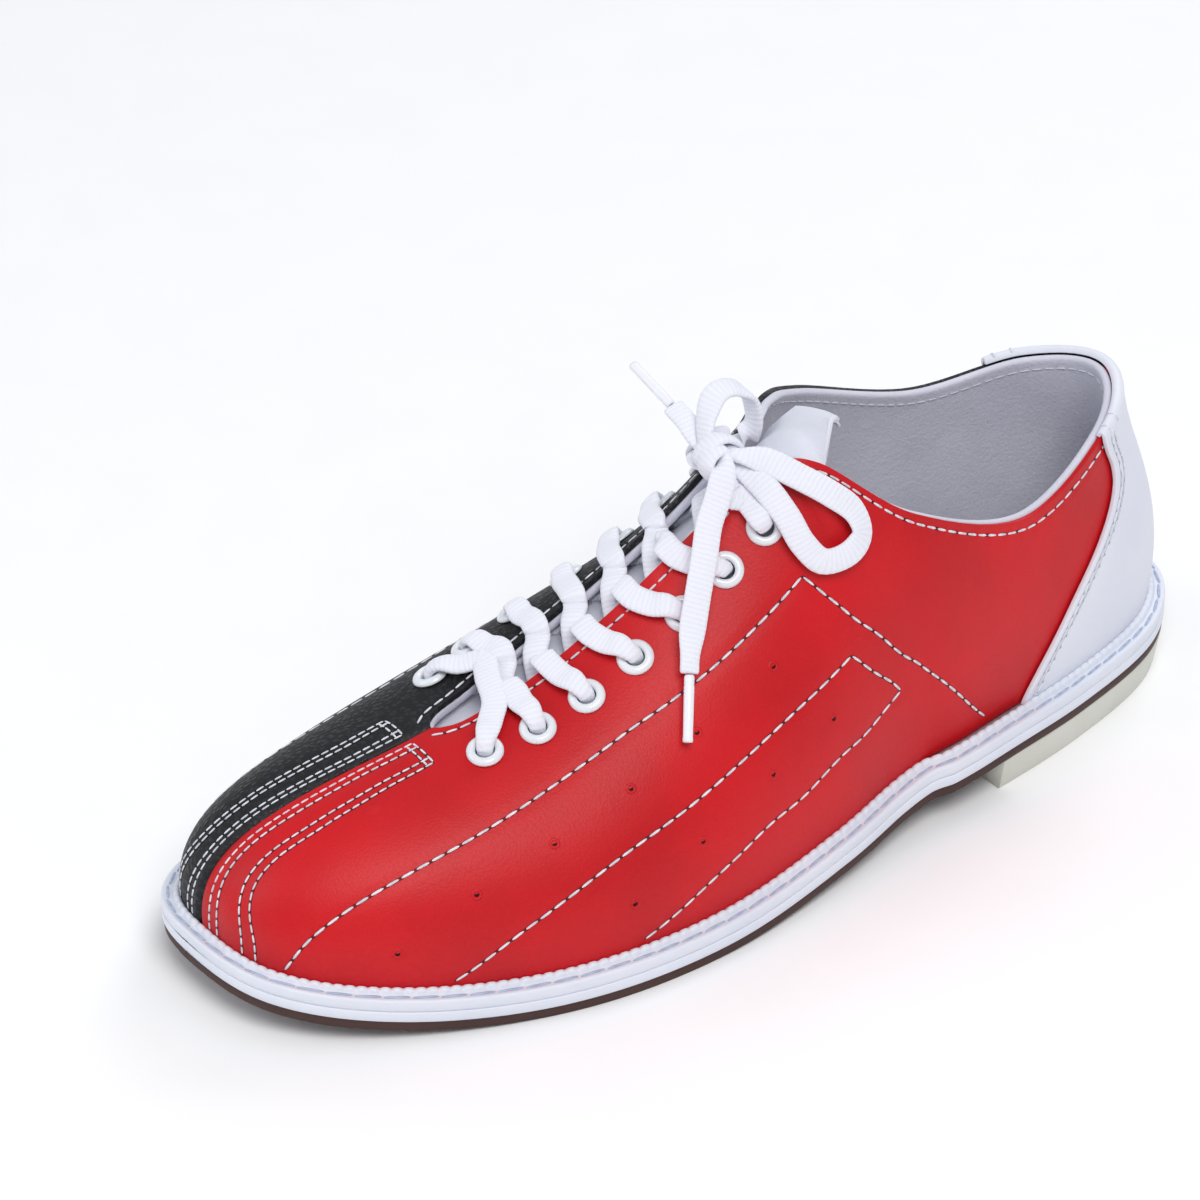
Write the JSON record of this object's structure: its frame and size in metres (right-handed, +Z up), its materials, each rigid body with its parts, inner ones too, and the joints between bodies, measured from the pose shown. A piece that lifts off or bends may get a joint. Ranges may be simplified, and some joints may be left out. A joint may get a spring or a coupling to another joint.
{
  "type": "bowling shoe",
  "caption": "Laced low-cut left shoe with two-tone leather upper, white heel cover, stitched welt, smooth sliding sole, low heel block and a hinged tongue.",
  "frame": {"origin": "on the ground, under the middle of the welt's length and width", "axes": "+X towards the toe, +Y towards the outer side of the left foot, +Z up"},
  "size_m": [0.3016, 0.1128, 0.1232],
  "materials": {
    "brown_rubber": "matt dark brown outsole",
    "white_rubber": "smooth white sole edge",
    "heel_rubber": "pale grey moulded rubber",
    "thread": "waxed lockstitch thread",
    "fibre_board": "pressed fibre board",
    "cork_filler": "cork and glue filler",
    "shank_steel": "spring steel strip",
    "black_cloth": "black woven sock liner",
    "red_leather": "smooth red leather, satin",
    "black_leather": "pebbled black leather, satin",
    "white_leather": "smooth white leather, satin",
    "lining_cloth": "pale grey lavender lining",
    "white_enamel": "white painted eyelet",
    "white_cord": "flat braided white lace",
    "clear_plastic": "shrunk plastic tip"
  },
  "bodies": {
    "shoe": {"outsole": "brown_rubber", "midsole": "white_rubber", "heel_block": "heel_rubber", "welt": "white_rubber", "welt_thread": "thread", "insole_board": "fibre_board", "bottom_filler": "cork_filler", "shank": "shank_steel", "sock_liner": "black_cloth", "quarter_lateral": "red_leather", "quarter_medial": "black_leather", "lining_lateral": "lining_cloth", "lining_medial": "lining_cloth", "facing_backing_lateral": "lining_cloth", "facing_backing_medial": "lining_cloth", "toe_puff": "fibre_board", "toe_seam_underlay": "white_leather", "heel_stiffener": "fibre_board", "heel_cover": "white_leather", "lace": "white_cord", "bow_lateral": "white_cord", "bow_medial": "white_cord", "lace_knot": "white_cord", "aglet_lateral": "clear_plastic", "aglet_medial": "clear_plastic", "eyelet_lateral_1": "white_enamel", "eyelet_lateral_2": "white_enamel", "eyelet_lateral_3": "white_enamel", "eyelet_lateral_4": "white_enamel", "eyelet_lateral_5": "white_enamel", "eyelet_lateral_6": "white_enamel", "eyelet_lateral_7": "white_enamel", "eyelet_medial_1": "white_enamel", "eyelet_medial_2": "white_enamel", "eyelet_medial_3": "white_enamel", "eyelet_medial_4": "white_enamel", "eyelet_medial_5": "white_enamel", "eyelet_medial_6": "white_enamel", "eyelet_medial_7": "white_enamel"},
    "tongue": {"tongue_outer": "white_leather", "tongue_lining": "lining_cloth"}
  },
  "joints": [
    {"name": "tongue_hinge", "type": "hinge", "parent": "shoe", "child": "tongue", "pos_m": [0.0965, -0.004, 0.0472], "axis": [0, -1, 0], "range_deg": [0, 12]}
  ]
}
